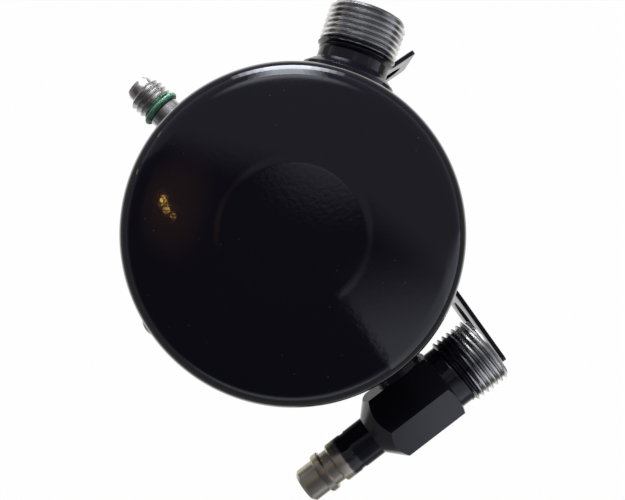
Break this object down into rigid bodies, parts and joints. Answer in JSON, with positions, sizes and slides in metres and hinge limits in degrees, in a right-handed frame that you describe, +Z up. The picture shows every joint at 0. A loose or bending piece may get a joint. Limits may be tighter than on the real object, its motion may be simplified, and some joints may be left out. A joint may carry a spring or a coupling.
{
  "type": "air conditioning accumulator",
  "caption": "Upright welded steel can with a threaded inlet, an outlet tee with a service port, a pressure switch port, a relief plug and a bent mounting bracket.",
  "frame": {"origin": "middle of the can's flat base", "axes": "+Z up the can's axis; +X outwards through the middle of the bracket's saddle; +Y towards the pressure switch port"},
  "size_m": [0.1323, 0.1501, 0.2087],
  "materials": {
    "black_paint": "glossy black enamel with slight orange peel",
    "bracket_paint": "black enamel",
    "fitting_steel": "turned steel, painted black at the can's end",
    "port_steel": "bright turned steel",
    "green_rubber": "smooth rubber",
    "black_rubber": "smooth rubber",
    "core_brass": "turned brass",
    "spring_steel": "drawn wire",
    "tube_steel": "plain steel",
    "filter_plastic": "moulded nylon",
    "screen_mesh": "fine mesh",
    "bag_felt": "felt"
  },
  "bodies": {
    "can": {"upper_shell": "black_paint", "lower_shell": "black_paint", "girth_weld": "black_paint", "inlet_weld": "black_paint", "outlet_weld": "black_paint", "switch_port_weld": "black_paint", "relief_weld": "black_paint", "relief_boss": "black_paint", "relief_plug": "black_paint", "bracket": "bracket_paint", "inlet_fitting": "fitting_steel", "outlet_tee": "fitting_steel", "switch_port": "port_steel", "switch_o_ring": "green_rubber", "pickup_tube": "tube_steel", "inlet_baffle": "tube_steel", "oil_filter": "filter_plastic", "filter_screen": "screen_mesh", "desiccant_bag": "bag_felt", "bag_band": "filter_plastic", "service_core_body": "core_brass", "service_core_seal": "black_rubber", "service_core_spring": "spring_steel", "switch_core_body": "core_brass", "switch_core_seal": "black_rubber", "switch_core_spring": "spring_steel"},
    "service_pin": {"service_core_pin": "core_brass", "service_poppet_seal": "black_rubber"},
    "switch_pin": {"switch_core_pin": "core_brass", "switch_poppet_seal": "black_rubber"}
  },
  "joints": [
    {"name": "service_pin_press", "type": "slide", "parent": "can", "child": "service_pin", "axis": [0.9982, 0.0607, 0], "range_m": [0, 0.0016], "stiffness_N_per_m": 900, "springref_m": -0.003, "deforming": ["service_core_spring"]},
    {"name": "switch_pin_press", "type": "slide", "parent": "can", "child": "switch_pin", "axis": [0.2147, -0.9767, 0], "range_m": [0, 0.0016], "stiffness_N_per_m": 900, "springref_m": -0.003, "deforming": ["switch_core_spring"]}
  ]
}
